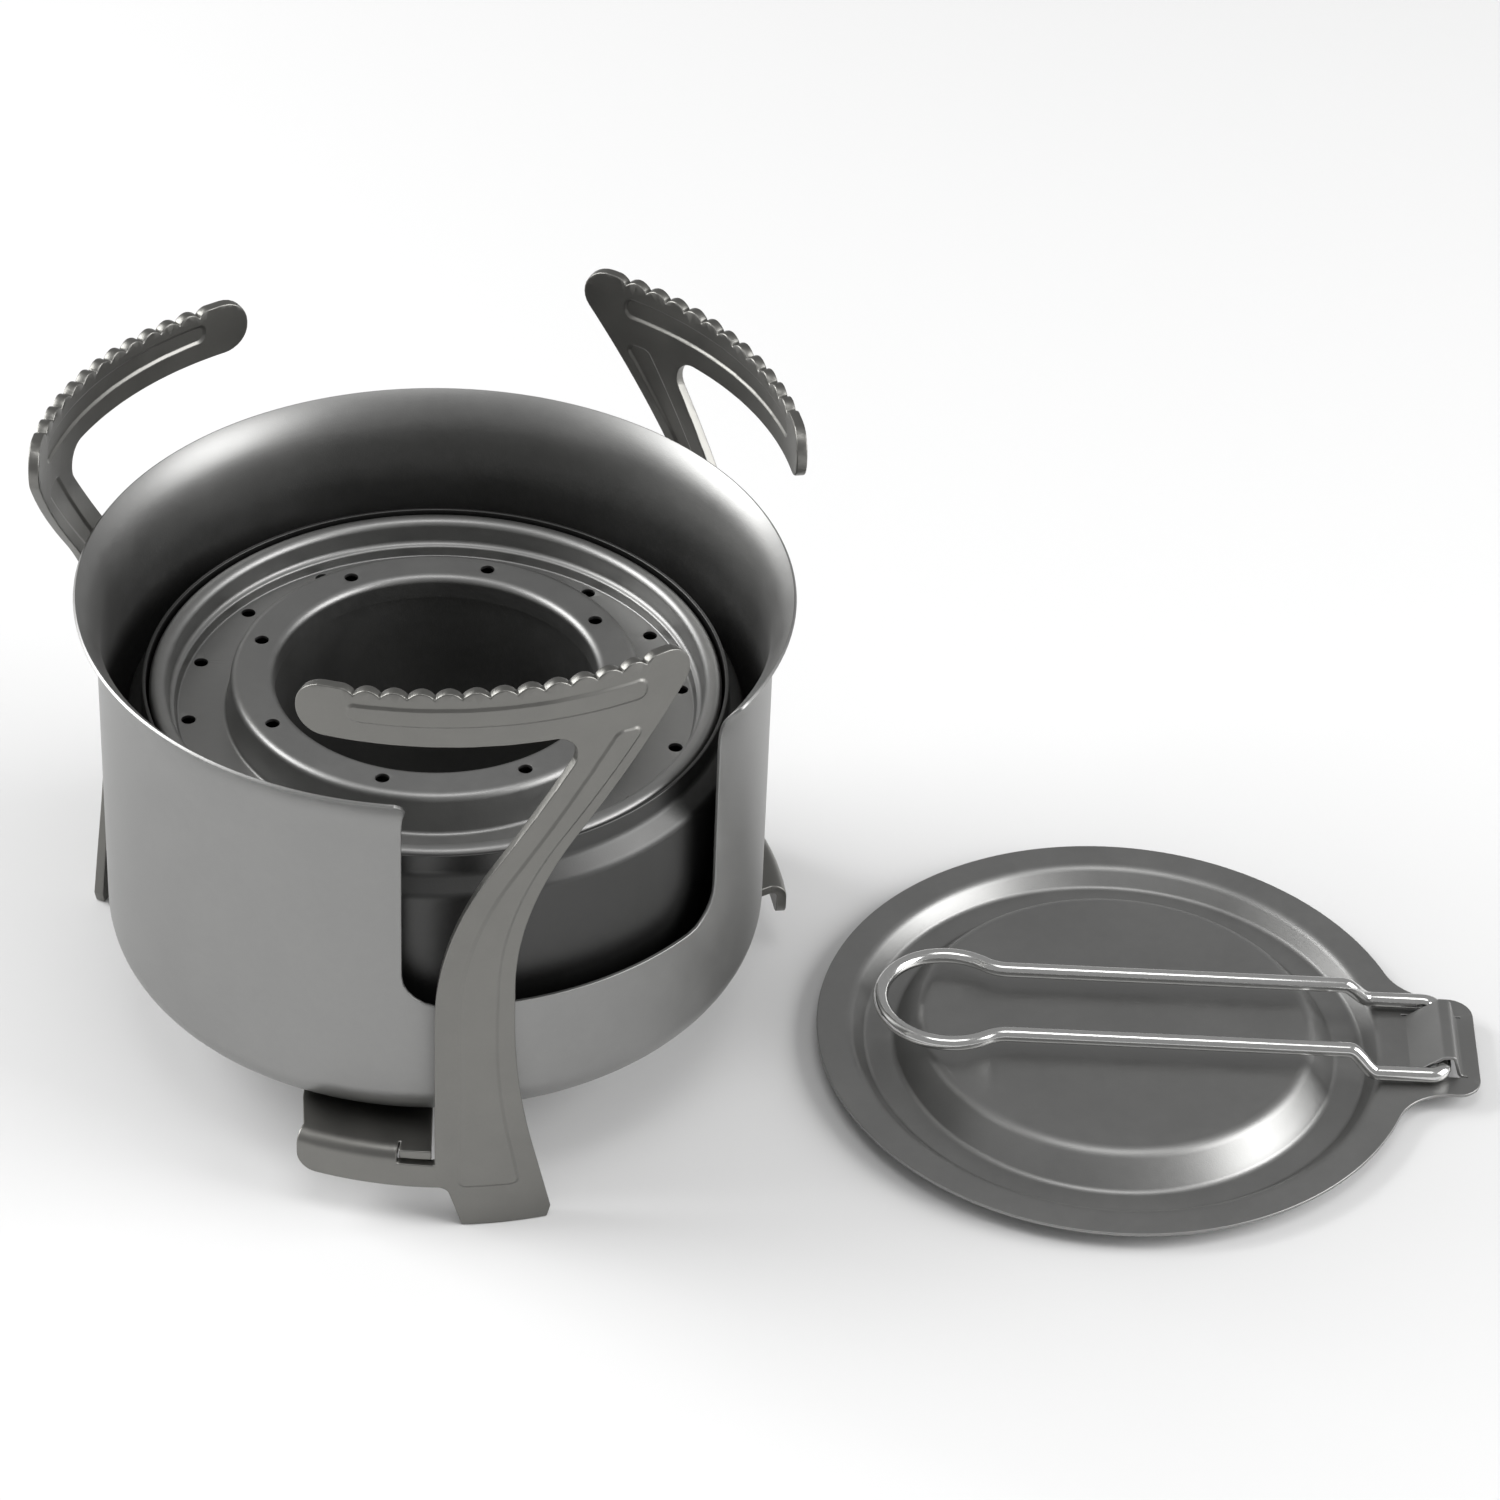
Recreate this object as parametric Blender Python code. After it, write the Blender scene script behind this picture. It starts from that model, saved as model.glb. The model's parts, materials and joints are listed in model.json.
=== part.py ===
"""Titanium spirit stove set: windshield cup, burner, three swivelling pot supports, lid.

The frame stands on the table: z = 0 is the table top, +Z is up, -Y is the side with the
burner window. The whole set's box is centred on the origin in x and y.
"""
import math

import bmesh
import bpy
from mathutils import Matrix, Vector

MM = 0.001
STEPS = 40                       # sides of the turned pieces
GAP = 0.3 * MM                   # room between pieces that touch

# Places on the table.
STOVE_AXIS = Vector((-46.0 * MM, 4.2 * MM, 0.0))
LID_CENTRE = STOVE_AXIS + Vector((94.3 * MM, -14.8 * MM, 0.0))
LID_TURN = math.radians(-4.4)    # the lid's tab points this way from +X

# Windshield cup.
RIM_Z = 68.4 * MM
RIM_RADIUS = 48.0 * MM
CUP_RADIUS = 45.15 * MM
CUP_BOTTOM_Z = 12.8 * MM
CUP_FILLET = 6.0 * MM
SHEET = 0.5 * MM                 # wall of every drawn or stamped titanium piece
FLARE_HEIGHT = 8.2 * MM          # of the flare's outer line, whose end the sheet overtops
FLARE_CURVE = 2.6                # power of the flare: it starts straight and curls out at the lip
WINDOW_ANGLE = math.radians(-65.4)
WINDOW_WIDTH = 45.6 * MM
WINDOW_BOTTOM_Z = 33.2 * MM
WINDOW_CORNER = 5.0 * MM
WINDOW_TOP_CORNER = 3.4 * MM

# Pot supports. Each turns on a rivet through the cup's floor.
RIVET_CIRCLE = 35.0 * MM
RIVET_RADIUS = 1.5 * MM
RIVET_HEAD_RADIUS = 3.0 * MM
RIVET_HEAD = 0.8 * MM
RIVET_CLEARANCE = 0.15 * MM
LEG_THICKNESS = 1.4 * MM
LEG_BEND_RADIUS = 49.28 * MM     # middle of the blade's thickness, about the stove's axis
LEG_FLANGE_RADIUS = 9.3 * MM
LEG_FLANGE_EDGE = 49.7 * MM
LEG_FLANGE_FROM, LEG_FLANGE_TO = -6.3, 14.9   # degrees round the stove from the rivet
BEND_STEP = 6.3                  # degrees between the creases of the bent blade
TOOTH_COUNT = 12
TOOTH_FIRST, TOOTH_PITCH = 3.73, 3.93         # degrees
TOOTH_VALLEY_Z = 86.6 * MM       # the first valley; each next one is a little higher
TOOTH_RISE = 0.12 * MM
TOOTH_SHAPE = ((0.42, 1.0), (0.2, 0.1), (-0.2, 0.1), (-0.42, 1.0))   # share of pitch, mm up
# name: rivet's place round the stove, and how far the leg stands open, in degrees
LEGS = {
    "front": (-104.62, 3.35),
    "left": (129.05, 6.36),
    "right": (14.58, 4.80),
}

# Burner, standing on the rivet heads.
BURNER_BOTTOM_Z = 14.55 * MM
BURNER_RADIUS = 41.6 * MM
BURNER_FILLET = 5.0 * MM
LIP_RADIUS = 39.4 * MM
LIP_Z = 53.8 * MM
SHOULDER_Z = 47.4 * MM
TROUGH_Z = 48.7 * MM
ANNULUS_Z = 54.4 * MM
WELL_RADIUS = 21.7 * MM
COLLAR = 3.4 * MM
JET_RADIUS = 1.05 * MM
OUTER_JETS = (16, 33.56 * MM, math.radians(185.8))
INNER_JETS = (8, 24.61 * MM, math.radians(208.3))
SLEEVE_TOP_Z = 52.4 * MM
FUEL_SLOTS = 4

# Lid, standing on the table on the underside of its channel.
LID_RADIUS = 41.6 * MM
LID_FLANGE_Z = 3.0 * MM               # the upper side of the flange and its tab
LID_FLANGE_UNDER = LID_FLANGE_Z - SHEET
LID_LINE = (                          # mm, radius and height of the upper side inside the flange:
    (37.8, 3.0), (36.7, 2.6), (35.2, 0.85), (34.3, 0.5), (31.6, 0.5),     # down into the channel,
    (30.4, 0.95), (27.9, 4.1), (27.0, 4.8), (25.9, 5.0), (0.0, 5.0))      # and up to the middle
TAB_END = 50.4 * MM
TAB_HALF_WIDTH = 10.3 * MM
TAB_ROOT = (38.2 * MM, 14.2 * MM)     # where the tab's edge leaves the lid's round edge
TAB_NECK_X = 42.4 * MM                # where its fillet would meet its side

# Folding wire handle on the lid's tab.
WIRE_RADIUS = 1.05 * MM
HINGE_X = 45.2 * MM
HINGE_Z = 4.35 * MM
BRIDGE_HALF_WIDTH = 6.2 * MM
BRIDGE_ARCH = (                       # mm from the hinge's line and the flange's underside
    (-3.4, 0.1), (-2.9, 0.45), (-1.3, 3.3), (-0.5, 3.8), (0.5, 3.8), (1.3, 3.3), (2.9, 0.45),
    (3.4, 0.1), (2.4, 0.1), (0.9, 3.0), (0.4, 3.3), (-0.4, 3.3), (-0.9, 3.0), (-2.4, 0.1))
BRIDGE_SLOT = 2.6 * MM                # half the hole under the bridge, along the tab
HANDLE_NEAR_Y = 7.9 * MM
HANDLE_FAR_Y = 6.95 * MM
HANDLE_Z = 7.45 * MM
LOOP_X = -23.5 * MM
LOOP_RADIUS = 9.45 * MM
HOOK_END = 2.4 * MM                   # the wire's ends stop this far from the tab's middle
HOOK_RADIUS = 2.0 * MM
NECK_RADIUS = 6.0 * MM                # where the straights open out into the loop
RISE_START, RISE_LENGTH = 9.3 * MM, 4.2 * MM      # the S-bend, from the hinge


# ---------------------------------------------------------------- helpers

def clear_scene():
    for old in list(bpy.data.objects):
        bpy.data.objects.remove(old, do_unlink=True)


def finish(name, colour, roughness):
    material = bpy.data.materials.new(name)
    material.use_nodes = True
    shader = material.node_tree.nodes["Principled BSDF"]
    shader.inputs["Base Color"].default_value = (*colour, 1.0)
    shader.inputs["Metallic"].default_value = 1.0
    shader.inputs["Roughness"].default_value = roughness
    return material


def piece(name, bm, material, smooth_angle=35.0):
    """Close the bmesh's normals outwards and put it in the scene as one object."""
    bmesh.ops.recalc_face_normals(bm, faces=bm.faces)
    mesh = bpy.data.meshes.new(name)
    bm.to_mesh(mesh)
    bm.free()
    mesh.shade_smooth()
    mesh.set_sharp_from_angle(angle=math.radians(smooth_angle))
    obj = bpy.data.objects.new(name, mesh)
    bpy.context.collection.objects.link(obj)
    mesh.materials.append(material)
    return obj


def combine(target, tool, operation):
    """Add a live Boolean to target; the tool object stays in the scene as a guide."""
    step = target.modifiers.new(operation.title(), "BOOLEAN")
    step.operation = operation
    step.solver = "EXACT"
    step.object = tool
    tool.hide_render = True
    tool.display_type = "WIRE"


def polar(radius, angle, z=0.0):
    return Vector((radius * math.cos(angle), radius * math.sin(angle), z))


def rounded(corners, arc_step=25.0):
    """Outline through (x, y, radius) corners, each turned by an arc of its radius."""
    outline = []
    for index, (x, y, radius) in enumerate(corners):
        here = Vector((x, y))
        before = Vector(corners[index - 1][:2])
        after = Vector(corners[(index + 1) % len(corners)][:2])
        if radius == 0:
            outline.append(here)
            continue
        way_in, way_out = (here - before).normalized(), (after - here).normalized()
        turn = way_in.angle_signed(way_out)
        reach = radius * math.tan(abs(turn) / 2)
        side = Vector((way_in.y, -way_in.x)) * math.copysign(1.0, turn)
        start = here - way_in * reach
        centre = start + side * radius
        count = max(2, math.ceil(math.degrees(abs(turn)) / arc_step) + 1)
        for step in range(count):
            spoke = Matrix.Rotation(-turn * step / (count - 1), 2) @ (start - centre)
            outline.append(centre + spoke)
    return outline


def plate(outline, low, high):
    """A bmesh of the flat outline, standing from z = low to z = high."""
    bm = bmesh.new()
    face = bm.faces.new([bm.verts.new((point.x, point.y, low)) for point in outline])
    grown = bmesh.ops.extrude_face_region(bm, geom=[face])["geom"]
    lifted = [part for part in grown if isinstance(part, bmesh.types.BMVert)]
    bmesh.ops.translate(bm, verts=lifted, vec=(0, 0, high - low))
    return bm


def corner_arc(radius, fillet, low):
    """Points of a rounded bottom corner, from the floor of a cup up to its wall."""
    points = []
    for angle in (-90, -60, -30, 0):
        tilt = math.radians(angle)
        points.append((radius - fillet + fillet * math.cos(tilt),
                       low + fillet + fillet * math.sin(tilt)))
    return points


def lathe(profile, steps=STEPS):
    """A bmesh turned from a closed (radius, z) profile about the z axis."""
    bm = bmesh.new()
    verts = [bm.verts.new((radius, 0, z)) for radius, z in profile]
    edges = [bm.edges.new((verts[i - 1], verts[i])) for i in range(len(verts))
             if profile[i - 1][0] > 0 or profile[i][0] > 0]
    bmesh.ops.spin(bm, geom=verts + edges, axis=(0, 0, 1), cent=(0, 0, 0),
                   angle=2 * math.pi, steps=steps, use_merge=True)
    bmesh.ops.remove_doubles(bm, verts=bm.verts, dist=1e-6)
    return bm


def sheet_profile(outer, thickness):
    """Thicken an open (radius, z) line inwards to its left, into a closed profile."""
    line = [Vector(point) for point in outer]
    inner = []
    for index, here in enumerate(line):
        before, after = line[max(index - 1, 0)], line[min(index + 1, len(line) - 1)]
        along_in = (here - before).normalized() if here != before else None
        along_out = (after - here).normalized() if here != after else None
        along_in = along_in or along_out
        along_out = along_out or along_in
        middle = (along_in + along_out).normalized()
        normal = Vector((-middle.y, middle.x))
        reach = thickness / max(0.5, middle.dot(along_in))
        inner.append(here + normal * reach)
    inner[0].x = max(inner[0].x, 0.0) if line[0].x > 0 else 0.0
    return [tuple(p) for p in line] + [tuple(p) for p in reversed(inner)]


def peg(radius, low, high, sides=16):
    bm = bmesh.new()
    bmesh.ops.create_cone(bm, cap_ends=True, segments=sides, radius1=radius, radius2=radius,
                          depth=high - low, matrix=Matrix.Translation((0, 0, (low + high) / 2)))
    return bm


def merge(target, extra):
    """Copy the extra bmesh into target as one more closed shell."""
    carrier = bpy.data.meshes.new("carrier")
    extra.to_mesh(carrier)
    extra.free()
    target.from_mesh(carrier)
    bpy.data.meshes.remove(carrier)


# ---------------------------------------------------------------- windshield

def window_cutter(titanium):
    """A U-shaped punch through one side of the cup, open at the rim."""
    half = WINDOW_WIDTH / 2
    flare = WINDOW_TOP_CORNER
    top = RIM_Z + 3 * MM
    outline = rounded([
        (-half - flare, top, 0), (-half - flare, RIM_Z, 0), (-half, RIM_Z, flare),
        (-half, WINDOW_BOTTOM_Z, WINDOW_CORNER), (half, WINDOW_BOTTOM_Z, WINDOW_CORNER),
        (half, RIM_Z, flare), (half + flare, RIM_Z, 0), (half + flare, top, 0),
    ])
    bm = plate(outline, 30 * MM, 60 * MM)
    bmesh.ops.rotate(bm, verts=bm.verts, matrix=Matrix.Rotation(math.pi / 2, 3, "X"))
    bmesh.ops.rotate(bm, verts=bm.verts,
                     matrix=Matrix.Rotation(WINDOW_ANGLE + math.pi / 2, 3, "Z"))
    cutter = piece("window_cutter", bm, titanium)
    cutter.location = STOVE_AXIS
    return cutter


def rivet_hole_cutter(titanium):
    """The three rivet holes through the cup's floor."""
    bm = bmesh.new()
    for place, _ in LEGS.values():
        hole = peg(RIVET_RADIUS + GAP, CUP_BOTTOM_Z - 2 * MM, CUP_BOTTOM_Z + 3 * MM)
        bmesh.ops.translate(hole, verts=hole.verts, vec=polar(RIVET_CIRCLE, math.radians(place)))
        merge(bm, hole)
    cutter = piece("rivet_hole_cutter", bm, titanium)
    cutter.location = STOVE_AXIS
    return cutter


def make_windshield(titanium):
    """Deep cup with a flared rim, a window for lighting the burner and three rivet holes."""
    spread = RIM_RADIUS - CUP_RADIUS
    flare_top = RIM_Z - 0.6 * SHEET
    outer = [(0, CUP_BOTTOM_Z)] + corner_arc(CUP_RADIUS, CUP_FILLET, CUP_BOTTOM_Z)
    for rise in (0.0, 0.35, 0.6, 0.8, 0.93, 1.0):
        outer.append((CUP_RADIUS + spread * rise ** FLARE_CURVE,
                      flare_top - FLARE_HEIGHT * (1 - rise)))
    cup = piece("windshield", lathe(sheet_profile(outer, SHEET)), titanium)
    cup.location = STOVE_AXIS
    combine(cup, window_cutter(titanium), "DIFFERENCE")
    combine(cup, rivet_hole_cutter(titanium), "DIFFERENCE")


def make_rivet(name, place, titanium):
    """Shank through the floor and the leg's flange, with a head at each end."""
    under = CUP_BOTTOM_Z - GAP - LEG_THICKNESS - RIVET_CLEARANCE
    over = CUP_BOTTOM_Z + SHEET + RIVET_CLEARANCE
    chamfer = 0.3 * MM
    profile = [
        (0, under - RIVET_HEAD), (RIVET_HEAD_RADIUS - chamfer, under - RIVET_HEAD),
        (RIVET_HEAD_RADIUS, under - RIVET_HEAD + chamfer), (RIVET_HEAD_RADIUS, under),
        (RIVET_RADIUS, under), (RIVET_RADIUS, over), (RIVET_HEAD_RADIUS, over),
        (RIVET_HEAD_RADIUS, over + RIVET_HEAD - chamfer),
        (RIVET_HEAD_RADIUS - chamfer, over + RIVET_HEAD), (0, over + RIVET_HEAD),
    ]
    rivet = piece(name, lathe(profile, steps=16), titanium)
    rivet.location = STOVE_AXIS + polar(RIVET_CIRCLE, math.radians(place))


# ---------------------------------------------------------------- pot supports

def leg_outline():
    """The blade laid flat: x is the length round the stove from the rivet, y is height."""
    flange_z = (CUP_BOTTOM_Z - GAP) / MM
    strip_z = flange_z - (LEG_THICKNESS + GAP) / MM
    corners = [                                      # degrees from the rivet, z, corner radius
        (-5.0, 79.8, 3.7), (39.25, 79.8, 3.0), (15.4, 48.6, 45.0), (15.4, strip_z, 0),
        (9.6, strip_z, 0), (9.6, flange_z - 0.3, 0), (-6.3, flange_z - 0.3, 0),
        (-6.3, 6.6, 2.6), (17.2, 6.6, 1.5), (19.5, 0.0, 0), (32.7, 0.0, 0), (33.3, 1.8, 0),
        (27.4, 24.4, 100.0), (27.4, 53.8, 39.0), (59.4, 89.5, 3.7)]
    for tooth in reversed(range(TOOTH_COUNT)):
        middle = TOOTH_FIRST + TOOTH_PITCH * tooth
        valley = (TOOTH_VALLEY_Z + TOOTH_RISE * tooth) / MM
        for share, height in TOOTH_SHAPE:
            corners.append((middle + share * TOOTH_PITCH, valley + height, 0))
    corners.append((-5.0, 87.5, 3.7))
    along = math.radians(1.0) * LEG_BEND_RADIUS
    return rounded([(degrees * along, z * MM, radius * MM) for degrees, z, radius in corners])


def leg_blade():
    """Extrude the flat outline, crease it at equal steps and wrap it round the stove."""
    half = LEG_THICKNESS / 2
    bm = plate(leg_outline(), -half, half)
    bmesh.ops.triangulate(bm, faces=bm.faces)
    crease = math.radians(BEND_STEP) * LEG_BEND_RADIUS
    for index in range(-1, 9):
        geometry = bm.verts[:] + bm.edges[:] + bm.faces[:]
        bmesh.ops.bisect_plane(bm, geom=geometry, dist=1e-6,
                               plane_co=(index * crease, 0, 0), plane_no=(1, 0, 0))
    for vert in bm.verts:
        length, height, depth = vert.co
        vert.co = polar(LEG_BEND_RADIUS - depth, length / LEG_BEND_RADIUS, height)
    bmesh.ops.triangulate(bm, faces=bm.faces)
    return bm


def leg_flange():
    """The flat foot of the leg under the cup's floor, round about its rivet."""
    top = CUP_BOTTOM_Z - GAP
    rivet = Vector((RIVET_CIRCLE, 0))
    first, last = math.radians(LEG_FLANGE_FROM), math.radians(LEG_FLANGE_TO)
    outline = [polar(LEG_FLANGE_EDGE, first + (last - first) * i / 5).xy for i in range(6)]
    middle = (polar(1.0, (first + last) / 2).xy * LEG_FLANGE_EDGE - rivet).normalized()
    facing = math.atan2(middle.y, middle.x)
    for step in range(9):
        spoke = facing + math.radians(90 + 22.5 * step)
        outline.append(rivet + polar(LEG_FLANGE_RADIUS, spoke).xy)
    return plate(outline, top - LEG_THICKNESS, top)


def make_leg(name, place, opened, titanium):
    """One pot support. Its origin is on its rivet, and it is turned open by `opened`."""
    stove_centre = Matrix.Translation((-RIVET_CIRCLE, 0, 0))
    blade = leg_blade()
    flange = leg_flange()
    hole = peg(RIVET_RADIUS + GAP, CUP_BOTTOM_Z - 5 * MM, CUP_BOTTOM_Z + 1 * MM)
    bmesh.ops.transform(blade, matrix=stove_centre, verts=blade.verts)
    bmesh.ops.transform(flange, matrix=stove_centre, verts=flange.verts)
    leg = piece(name, blade, titanium, 20.0)
    flange_tool = piece(name + "_flange_tool", flange, titanium)
    hole_cutter = piece(name + "_hole_cutter", hole, titanium)
    for obj in (leg, flange_tool, hole_cutter):
        obj.location = STOVE_AXIS + polar(RIVET_CIRCLE, math.radians(place))
        obj.rotation_euler.z = math.radians(place - opened)
    combine(leg, flange_tool, "UNION")
    combine(leg, hole_cutter, "DIFFERENCE")


# ---------------------------------------------------------------- burner

def make_burner_cup(titanium):
    """Fuel cup: its wall steps in at a shoulder, and the cap sits inside its lip."""
    outer = [(0, BURNER_BOTTOM_Z)] + corner_arc(BURNER_RADIUS, BURNER_FILLET, BURNER_BOTTOM_Z)
    step = BURNER_RADIUS - LIP_RADIUS
    outer += [(BURNER_RADIUS, SHOULDER_Z), (BURNER_RADIUS - 0.3 * step, SHOULDER_Z + 0.7 * step),
              (LIP_RADIUS, SHOULDER_Z + step), (LIP_RADIUS, LIP_Z)]
    cup = piece("burner_cup", lathe(sheet_profile(outer, SHEET)), titanium)
    cup.location = STOVE_AXIS


def jet_cutter(titanium):
    """All the flame jets, as one guide of separate pegs."""
    bm = bmesh.new()
    for count, circle, first in (OUTER_JETS, INNER_JETS):
        for index in range(count):
            jet = peg(JET_RADIUS, TROUGH_Z - 3 * MM, ANNULUS_Z + 3 * MM, sides=8)
            place = polar(circle, first + 2 * math.pi * index / count)
            bmesh.ops.translate(jet, verts=jet.verts, vec=place)
            merge(bm, jet)
    cutter = piece("jet_cutter", bm, titanium)
    cutter.location = STOVE_AXIS
    return cutter


def make_burner_top(titanium):
    """Stamped cap: edge flange, two steps down to the trough, raised annulus, collar."""
    edge = LIP_RADIUS - SHEET - GAP
    under = [(edge, LIP_Z - 0.3 * MM), (edge, LIP_Z - 1.2 * MM)]
    under += [(radius * MM, TROUGH_Z + height * MM) for radius, height in (
        (37.6, 3.4), (36.8, 2.9), (36.4, 1.6), (35.2, 1.2), (34.7, 0.3), (34.4, -0.5),
        (28.8, -0.5), (27.9, 0.2), (27.2, 3.8), (26.3, 5.1))]
    under += [(WELL_RADIUS + 1.4 * MM, ANNULUS_Z - SHEET),
              (WELL_RADIUS + SHEET, ANNULUS_Z - 1.3 * MM),
              (WELL_RADIUS + SHEET, ANNULUS_Z - COLLAR)]
    top = piece("burner_top", lathe(sheet_profile(under, -SHEET)), titanium)
    top.location = STOVE_AXIS
    combine(top, jet_cutter(titanium), "DIFFERENCE")


def make_burner_inner_wall(titanium):
    """Open sleeve hung round the cap's collar, slotted at its foot to let fuel through."""
    inner = WELL_RADIUS + SHEET + GAP
    low, high = BURNER_BOTTOM_Z + SHEET + GAP, SLEEVE_TOP_Z
    profile = [(inner + SHEET, low), (inner + SHEET, high), (inner, high), (inner, low)]
    sleeve = piece("burner_inner_wall", lathe(profile), titanium)
    slots = bmesh.new()
    for index in range(FUEL_SLOTS):
        slot = bmesh.new()
        bmesh.ops.create_cube(slot, size=1.0)
        bmesh.ops.scale(slot, verts=slot.verts, vec=(8 * MM, 4 * MM, 4 * MM))
        bmesh.ops.translate(slot, verts=slot.verts, vec=(inner, 0, low))
        turn = Matrix.Rotation(math.radians(45 + 360 * index / FUEL_SLOTS), 3, "Z")
        bmesh.ops.rotate(slot, verts=slot.verts, matrix=turn)
        merge(slots, slot)
    cutter = piece("fuel_slot_cutter", slots, titanium)
    sleeve.location = cutter.location = STOVE_AXIS
    combine(sleeve, cutter, "DIFFERENCE")


# ---------------------------------------------------------------- lid and handle

def place_on_lid(obj):
    obj.location = LID_CENTRE
    obj.rotation_euler.z = LID_TURN


def other_side(top):
    """The sheet's lower side, walked back the other way, square to the upper side everywhere."""
    points = [Vector(point) for point in top]
    downs = []
    for here, inner in zip(points, points[1:]):
        along = (inner - here).normalized()
        downs.append(Vector((-along.y, along.x)))
    under = []
    for point, before, after in zip(points, downs[:1] + downs, downs + downs[-1:]):
        under.append(point + (before + after) * SHEET / (1 + before.dot(after)))
    return [tuple(point) for point in reversed(under)]


def make_lid(titanium):
    """Round lid with a channel pressed down into it, and a flat tab.

    The tab's pressed bridge is the handle's hinge.
    """
    top = [(LID_RADIUS, LID_FLANGE_Z)] + [(radius * MM, z * MM) for radius, z in LID_LINE]
    lid = piece("lid", lathe(top + other_side(top)), titanium)

    half, (root_x, root_y) = TAB_HALF_WIDTH, TAB_ROOT
    tab = rounded([
        (root_x, -root_y, 0), (TAB_NECK_X, -half, 8 * MM), (TAB_END, -half, 3.5 * MM),
        (TAB_END, half, 3.5 * MM), (TAB_NECK_X, half, 8 * MM), (root_x, root_y, 0)])
    tab_tool = piece("tab_tool", plate(tab, LID_FLANGE_UNDER, LID_FLANGE_Z), titanium)

    half = BRIDGE_HALF_WIDTH + GAP
    slot = [Vector((HINGE_X + x, y)) for x, y in (
        (-BRIDGE_SLOT, -half), (BRIDGE_SLOT, -half), (BRIDGE_SLOT, half), (-BRIDGE_SLOT, half))]
    slot_cutter = piece("bridge_slot_cutter", plate(slot, LID_FLANGE_UNDER - 1 * MM, LID_FLANGE_Z + 1 * MM), titanium)

    outline = [Vector((HINGE_X + x * MM, LID_FLANGE_UNDER + z * MM))
               for x, z in reversed(BRIDGE_ARCH)]
    bridge = plate(outline, -BRIDGE_HALF_WIDTH, BRIDGE_HALF_WIDTH)
    bmesh.ops.rotate(bridge, verts=bridge.verts, matrix=Matrix.Rotation(math.pi / 2, 3, "X"))
    bridge_tool = piece("bridge_tool", bridge, titanium)

    combine(lid, tab_tool, "UNION")
    combine(lid, slot_cutter, "DIFFERENCE")
    combine(lid, bridge_tool, "UNION")
    for obj in (lid, tab_tool, slot_cutter, bridge_tool):
        place_on_lid(obj)


def handle_route():
    """Half of the wire, from under the bridge to the loop's far end, seen from the hinge."""
    loop = LOOP_X - HINGE_X
    neck = NECK_RADIUS
    neck_x = math.sqrt((LOOP_RADIUS + neck) ** 2 - (HANDLE_FAR_Y + neck) ** 2)
    high = HANDLE_Z - HINGE_Z
    shoulder = HANDLE_NEAR_Y - HOOK_RADIUS
    route = [Vector((0, HOOK_END, 0)), Vector((0, shoulder, 0))]
    for angle in (30, 60, 90):
        turn = math.radians(angle)
        route.append(Vector((-HOOK_RADIUS * (1 - math.cos(turn)),
                             shoulder + HOOK_RADIUS * math.sin(turn), 0)))
    for share in (0.0, 0.2, 0.5, 0.8, 1.0):
        ease = share * share * (3 - 2 * share)
        route.append(Vector((-RISE_START - RISE_LENGTH * share,
                             HANDLE_NEAR_Y + (HANDLE_FAR_Y - HANDLE_NEAR_Y) * ease,
                             high * ease)))
    meet = math.atan2(HANDLE_FAR_Y + neck, neck_x)   # where neck and loop touch
    for step in range(4):
        turn = -math.pi / 2 - (math.pi / 2 - meet) * step / 3
        route.append(Vector((loop + neck_x + neck * math.cos(turn),
                             HANDLE_FAR_Y + neck + neck * math.sin(turn), high)))
    for step in range(1, 10):
        turn = meet + (math.pi - meet) * step / 9
        route.append(Vector((loop + LOOP_RADIUS * math.cos(turn),
                             LOOP_RADIUS * math.sin(turn), high)))
    return route


def make_lid_handle(steel):
    half = handle_route()
    route = half + [Vector((p.x, -p.y, p.z)) for p in reversed(half[:-1])]
    curve = bpy.data.curves.new("lid_handle", "CURVE")
    curve.dimensions = "3D"
    curve.bevel_depth = WIRE_RADIUS
    curve.bevel_resolution = 2
    curve.use_fill_caps = True
    spline = curve.splines.new("POLY")
    spline.points.add(len(route) - 1)
    for point, place in zip(spline.points, route):
        point.co = (*place, 1.0)
    spline.use_smooth = True
    curve.materials.append(steel)
    handle = bpy.data.objects.new("lid_handle", curve)
    bpy.context.collection.objects.link(handle)
    handle.location = LID_CENTRE + Matrix.Rotation(LID_TURN, 3, "Z") @ Vector((HINGE_X, 0, HINGE_Z))
    handle.rotation_euler.z = LID_TURN


def main():
    clear_scene()
    titanium = finish("blasted_titanium", (0.21, 0.21, 0.205), 0.48)
    leg_titanium = finish("rolled_titanium", (0.20, 0.197, 0.185), 0.38)
    steel = finish("polished_wire", (0.62, 0.62, 0.62), 0.12)
    make_windshield(titanium)
    for name, (place, opened) in LEGS.items():
        make_rivet("pivot_rivet_" + name, place, titanium)
        make_leg("pot_support_" + name, place, opened, leg_titanium)
    make_burner_cup(titanium)
    make_burner_top(titanium)
    make_burner_inner_wall(titanium)
    make_lid(titanium)
    make_lid_handle(steel)


main()
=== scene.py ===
# %% [markdown]
# # A titanium spirit stove set
#
# The real object is a pocket stove: a windshield cup on three swivelling pot supports, a ring burner
# inside it, and a snuffer lid with a wire handle. Almost everything is thin titanium sheet, so nearly
# every piece here is made the same way: first one skin with no thickness, shaped by spinning or by
# cutting a flat pattern, and then a Solidify and a small Bevel that give the sheet its wall and its edge.

# %% Load the frame
import json
import math

import bmesh
import bpy
from mathutils import Matrix, Vector
from mathutils.geometry import delaunay_2d_cdt


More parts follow.
